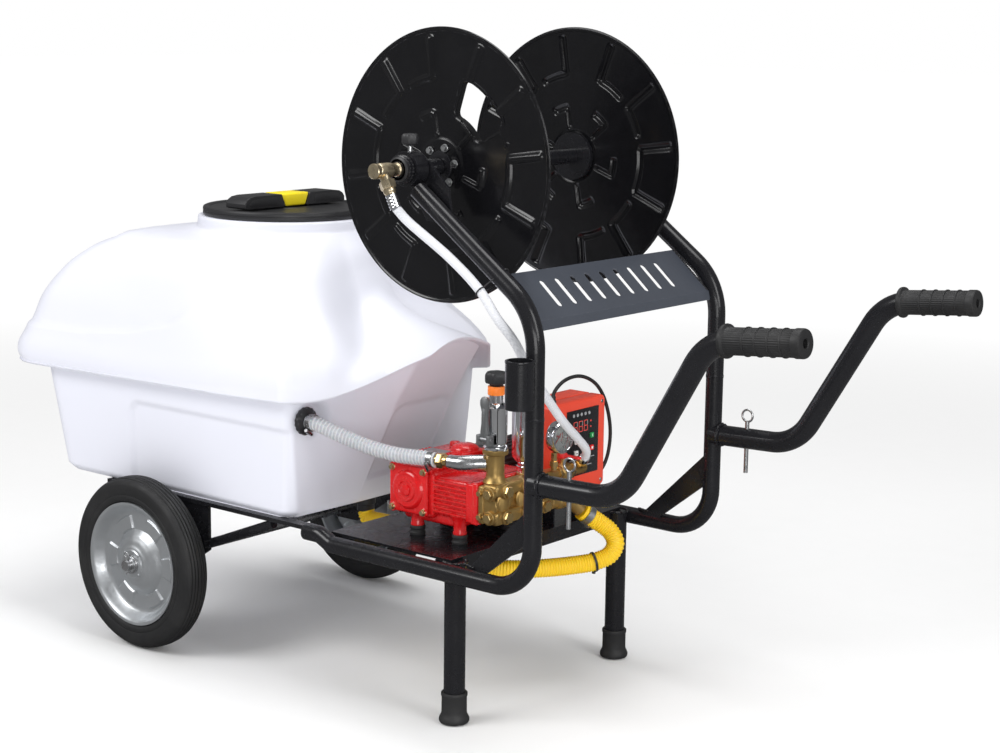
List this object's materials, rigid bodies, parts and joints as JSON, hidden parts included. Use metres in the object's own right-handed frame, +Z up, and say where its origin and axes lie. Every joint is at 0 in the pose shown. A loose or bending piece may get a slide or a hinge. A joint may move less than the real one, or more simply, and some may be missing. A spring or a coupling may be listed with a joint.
{
  "type": "wheeled sprayer cart",
  "caption": "Two-wheel orchard sprayer cart with a moulded tank, plunger pump on a deck, hose reel between tube side frames and bent push handles.",
  "frame": {"origin": "on the floor at the centre of the footprint box", "axes": "+X to the handles, +Y to the operator's right as they face the tank, +Z up"},
  "size_m": [1.903, 0.724, 1.2095],
  "materials": {
    "black_frame": "gloss black enamel",
    "panel_paint": "satin slate grey",
    "steel": "bright",
    "zinc": "zinc plated, satin",
    "tyre_rubber": "matt",
    "black_rubber": "matt",
    "tank_plastic": "translucent white, smooth",
    "black_plastic": "fine grain",
    "red_paint": "gloss red enamel on casting",
    "brass": "cast and machined",
    "chrome": "polished",
    "cast_alloy": "as cast",
    "glass": "clear",
    "red_plastic": "gloss orange-red",
    "white_plastic": "gloss",
    "green_plastic": "gloss",
    "clear_hose": "translucent grey with a spiral",
    "white_hose": "smooth",
    "yellow_hose": "corrugated"
  },
  "bodies": {
    "chassis": {"axle": "steel", "axle_fasteners": "steel", "main_frame": "black_frame", "upper_tubes": "black_frame", "front_panel": "panel_paint", "deck_plate": "black_frame", "rubber_feet": "black_rubber", "handles": "black_frame", "grips": "black_rubber", "reel_brackets": "black_frame", "reel_bushes": "brass", "swivel_elbow": "brass", "feed_hose": "white_hose", "tank": "tank_plastic", "tank_fittings": "black_plastic", "suction_hose": "clear_hose", "hose_clamps": "steel", "crankcase": "red_paint", "bearing_cover": "red_paint", "pump_bolts": "steel", "top_cover": "red_paint", "crank_bearings": "steel", "plungers": "steel", "motor_case": "cast_alloy", "pump_bushes": "black_rubber", "manifold": "brass", "suction_elbow": "chrome", "regulator_body": "chrome", "air_chamber": "chrome", "gauge_body": "chrome", "gauge_glass": "glass", "outlet_valve": "brass", "return_hose": "yellow_hose", "battery": "black_plastic", "box_case": "red_plastic", "box_cover": "red_plastic", "box_cable": "black_rubber"},
    "wheel_left": {"tyre_left": "tyre_rubber", "wheel_disc_left": "zinc"},
    "wheel_right": {"tyre_right": "tyre_rubber", "wheel_disc_right": "zinc"},
    "reel": {"reel_disc_left": "black_frame", "reel_disc_right": "black_frame", "reel_shaft": "black_frame", "reel_outlet": "brass"},
    "lid": {"lid": "black_plastic", "lid_handle": "black_plastic"},
    "pin_left": {"handle_pin_left": "steel"},
    "pin_right": {"handle_pin_right": "steel"},
    "reel_brake": {"reel_brake_knob": "black_plastic"},
    "knob": {"regulator_knob": "black_plastic"},
    "lever": {"unloader_lever": "cast_alloy"},
    "valve": {"valve_lever": "red_plastic"},
    "needle": {"gauge_needle": "black_plastic"},
    "plus": {"button_plus": "white_plastic"},
    "minus": {"button_minus": "white_plastic"},
    "start": {"button_start": "green_plastic"},
    "stop": {"button_stop": "red_plastic"},
    "drive": {"crankshaft": "steel", "motor_rotor": "cast_alloy"}
  },
  "joints": [
    {"name": "wheel_left_spin", "type": "hinge", "parent": "chassis", "child": "wheel_left", "pos_m": [-0.4885, -0.32, 0.17], "axis": [0, 1, 0], "continuous": true},
    {"name": "wheel_right_spin", "type": "hinge", "parent": "chassis", "child": "wheel_right", "pos_m": [-0.4885, 0.32, 0.17], "axis": [0, 1, 0], "continuous": true},
    {"name": "reel_spin", "type": "hinge", "parent": "chassis", "child": "reel", "pos_m": [0.1665, 0, 0.972], "axis": [0, 1, 0], "continuous": true},
    {"name": "lid_lift", "type": "slide", "parent": "chassis", "child": "lid", "axis": [0, 0, 1], "range_m": [0, 0.12]},
    {"name": "pin_left_lift", "type": "slide", "parent": "chassis", "child": "pin_left", "axis": [0, 0, 1], "range_m": [0, 0.1]},
    {"name": "pin_right_lift", "type": "slide", "parent": "chassis", "child": "pin_right", "axis": [0, 0, 1], "range_m": [0, 0.1]},
    {"name": "reel_brake_turn", "type": "hinge", "parent": "chassis", "child": "reel_brake", "pos_m": [0.1665, -0.27, 1], "axis": [0, 0, 1], "range_deg": [-180, 180]},
    {"name": "regulator_turn", "type": "hinge", "parent": "chassis", "child": "knob", "pos_m": [0.2565, -0.142, 0.58], "axis": [0, 0, 1], "range_deg": [-170, 170]},
    {"name": "unloader_tip", "type": "hinge", "parent": "chassis", "child": "lever", "pos_m": [0.2565, -0.172, 0.5], "axis": [1, 0, 0], "range_deg": [0, 75]},
    {"name": "valve_turn", "type": "hinge", "parent": "chassis", "child": "valve", "pos_m": [0.2595, 0.052, 0.43], "axis": [0, 0, 1], "range_deg": [-90, 0]},
    {"name": "needle_sweep", "type": "hinge", "parent": "chassis", "child": "needle", "pos_m": [0.2815, 0.002, 0.482], "axis": [-1, 0, 0], "range_deg": [0, 270]},
    {"name": "plus_press", "type": "slide", "parent": "chassis", "child": "plus", "axis": [-1, 0, 0], "range_m": [0, 0.0015]},
    {"name": "minus_press", "type": "slide", "parent": "chassis", "child": "minus", "axis": [-1, 0, 0], "range_m": [0, 0.0015]},
    {"name": "start_press", "type": "slide", "parent": "chassis", "child": "start", "axis": [-1, 0, 0], "range_m": [0, 0.0015]},
    {"name": "stop_press", "type": "slide", "parent": "chassis", "child": "stop", "axis": [-1, 0, 0], "range_m": [0, 0.0015]},
    {"name": "drive_spin", "type": "hinge", "parent": "chassis", "child": "drive", "pos_m": [0.0875, 0, 0.385], "axis": [0, 1, 0], "continuous": true}
  ]
}
